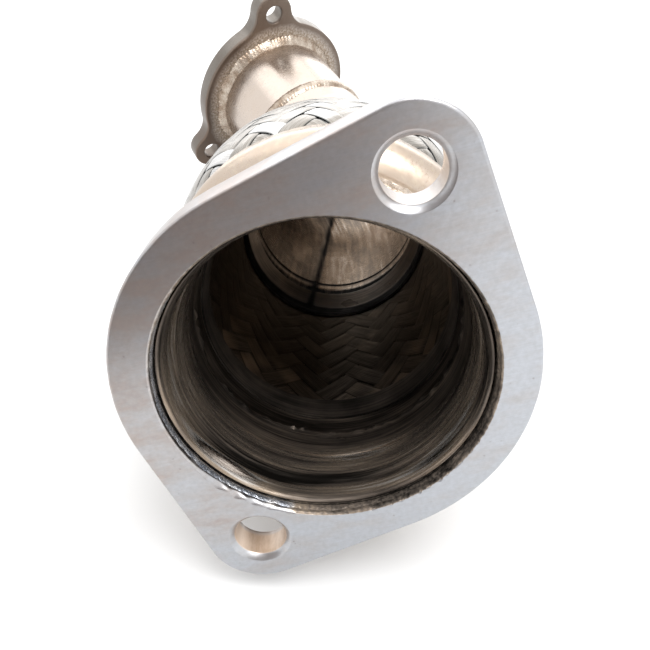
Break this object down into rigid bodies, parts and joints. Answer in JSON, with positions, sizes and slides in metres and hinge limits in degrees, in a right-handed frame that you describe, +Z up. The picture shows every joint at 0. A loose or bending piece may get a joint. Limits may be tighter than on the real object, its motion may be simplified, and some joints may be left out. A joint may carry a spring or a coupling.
{
  "type": "turbo downpipe",
  "caption": "Exhaust downpipe with an oval two-ear outlet plate, a braided flexible joint, one bend and a three-ear turbo plate.",
  "frame": {"origin": "where the pipe's axis meets the outlet plate's axis, 3.2 mm behind the plate's front face", "axes": "the outlet plate faces -Y, +Z is up, +X is right seen from the outlet"},
  "size_m": [0.1481, 0.387, 0.1341],
  "materials": {
    "plate_steel": "brushed, with warm blotches from heat",
    "tube_steel": "satin, straw tint from heat",
    "collar_steel": "pressed, satin",
    "braid_steel": "flat woven wire, satin",
    "liner_steel": "woven wire, darkened inside",
    "inner_steel": "darkened inside",
    "weld_steel": "rippled bead with heat tint"
  },
  "bodies": {
    "root": {"elbow": "tube_steel", "elbow_weld": "weld_steel", "flex_bellows": "inner_steel", "flex_front_collar": "collar_steel", "flex_front_inner_ring": "inner_steel", "flex_front_weld": "weld_steel", "flex_inner_braid": "liner_steel", "flex_outer_braid": "braid_steel", "flex_rear_collar": "collar_steel", "flex_rear_inner_ring": "inner_steel", "flex_rear_weld": "weld_steel", "inlet_flange": "plate_steel", "inlet_inner_weld": "weld_steel", "inlet_outer_weld": "weld_steel", "inlet_pipe": "tube_steel", "outlet_flange": "plate_steel", "outlet_inner_weld": "weld_steel", "outlet_rear_weld": "weld_steel", "outlet_stub": "tube_steel"}
  },
  "joints": []
}
